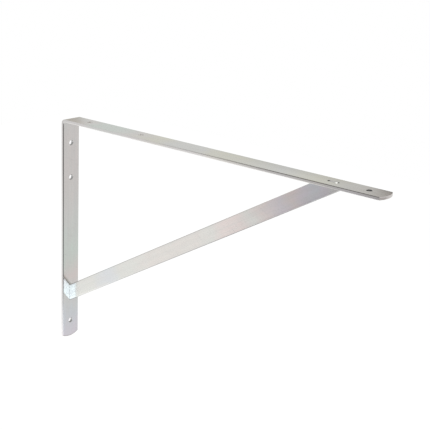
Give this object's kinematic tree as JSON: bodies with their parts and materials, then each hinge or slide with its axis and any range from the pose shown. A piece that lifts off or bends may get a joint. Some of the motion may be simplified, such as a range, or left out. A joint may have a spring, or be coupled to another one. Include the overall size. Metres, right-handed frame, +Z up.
{
  "type": "gallows shelf bracket",
  "caption": "Triangular shelf bracket of zinc-plated steel flat bar: an L-bent bar with screw holes and rounded tips, braced by a narrower bar on edge.",
  "frame": {"origin": "centre of the top wall screw hole, in the face that lies on the wall", "axes": "+X out from the wall along the shelf arm, +Z up, Y across the bars"},
  "size_m": [0.5, 0.03, 0.33],
  "materials": {
    "bright_zinc": "bright zinc plating with faint pink, green and blue passivation tints"
  },
  "bodies": {
    "root": {"bent_bar": "bright_zinc", "diagonal_brace": "bright_zinc"}
  },
  "joints": []
}
